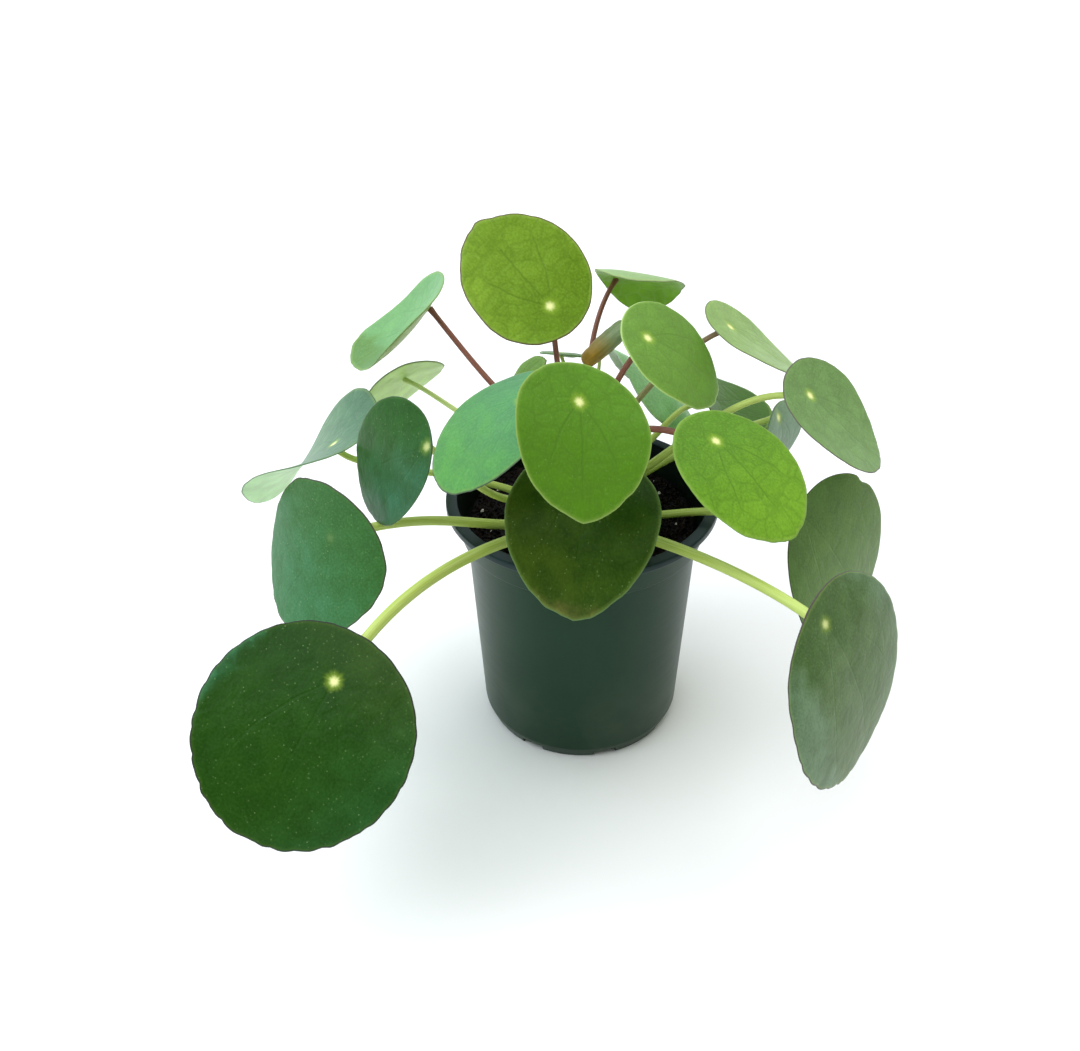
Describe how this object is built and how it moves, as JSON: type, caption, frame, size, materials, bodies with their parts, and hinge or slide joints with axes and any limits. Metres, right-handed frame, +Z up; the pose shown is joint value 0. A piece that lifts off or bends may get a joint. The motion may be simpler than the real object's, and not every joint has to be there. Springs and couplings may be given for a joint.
{
  "type": "potted plant",
  "caption": "Round-leaved house plant with shield-like leaves on long thin stalks, standing in a round tapered nursery pot filled with potting soil.",
  "frame": {"origin": "centre of the pot's flat underside, which rests on the floor", "axes": "+Z up along the pot's axis; the plant's best side, as in the picture, faces -Y; +X to its right as seen from there"},
  "size_m": [0.2634, 0.2195, 0.2314],
  "materials": {
    "pot": "satin",
    "soil": "matte",
    "stem": "matte",
    "stalk_green": "satin",
    "stalk_maroon": "satin",
    "leaf_young": "satin",
    "leaf_mature": "satin",
    "leaf_old": "satin",
    "leaf_rolled": "satin"
  },
  "bodies": {
    "root": {"pot": "pot", "soil": "soil", "main_stem": "stem", "stalk_top_front": "stalk_maroon", "blade_top_front": "leaf_young", "stalk_centre": "stalk_maroon", "blade_centre": "leaf_young", "stalk_upper_left": "stalk_maroon", "blade_upper_left": "leaf_young", "stalk_left_back": "stalk_green", "blade_left_back": "leaf_mature", "stalk_far_left": "stalk_green", "blade_far_left": "leaf_mature", "stalk_left_dark": "stalk_green", "blade_left_dark": "leaf_mature", "stalk_left_of_centre": "stalk_green", "blade_left_of_centre": "leaf_mature", "stalk_left_low": "stalk_green", "blade_left_low": "leaf_old", "stalk_front_left_low": "stalk_green", "blade_front_left_low": "leaf_old", "stalk_front_low": "stalk_green", "blade_front_low": "leaf_old", "stalk_front_right_low": "stalk_green", "blade_front_right_low": "leaf_old", "stalk_right_low": "stalk_green", "blade_right_low": "leaf_old", "stalk_right_front": "stalk_maroon", "blade_right_front": "leaf_young", "stalk_upper_right": "stalk_maroon", "blade_upper_right": "leaf_young", "stalk_right_back_high": "stalk_maroon", "blade_right_back_high": "leaf_mature", "stalk_right_high": "stalk_green", "blade_right_high": "leaf_mature", "stalk_top_back": "stalk_maroon", "blade_top_back": "leaf_young", "stalk_right_behind": "stalk_green", "blade_right_behind": "leaf_mature", "stalk_back_right": "stalk_green", "blade_back_right": "leaf_old", "stalk_back_middle": "stalk_green", "blade_back_middle": "leaf_mature", "stalk_small_behind": "stalk_green", "blade_small_behind": "leaf_young", "stalk_small_back": "stalk_green", "blade_small_back": "leaf_young", "stalk_rolled": "stalk_green", "blade_rolled": "leaf_rolled"}
  },
  "joints": []
}
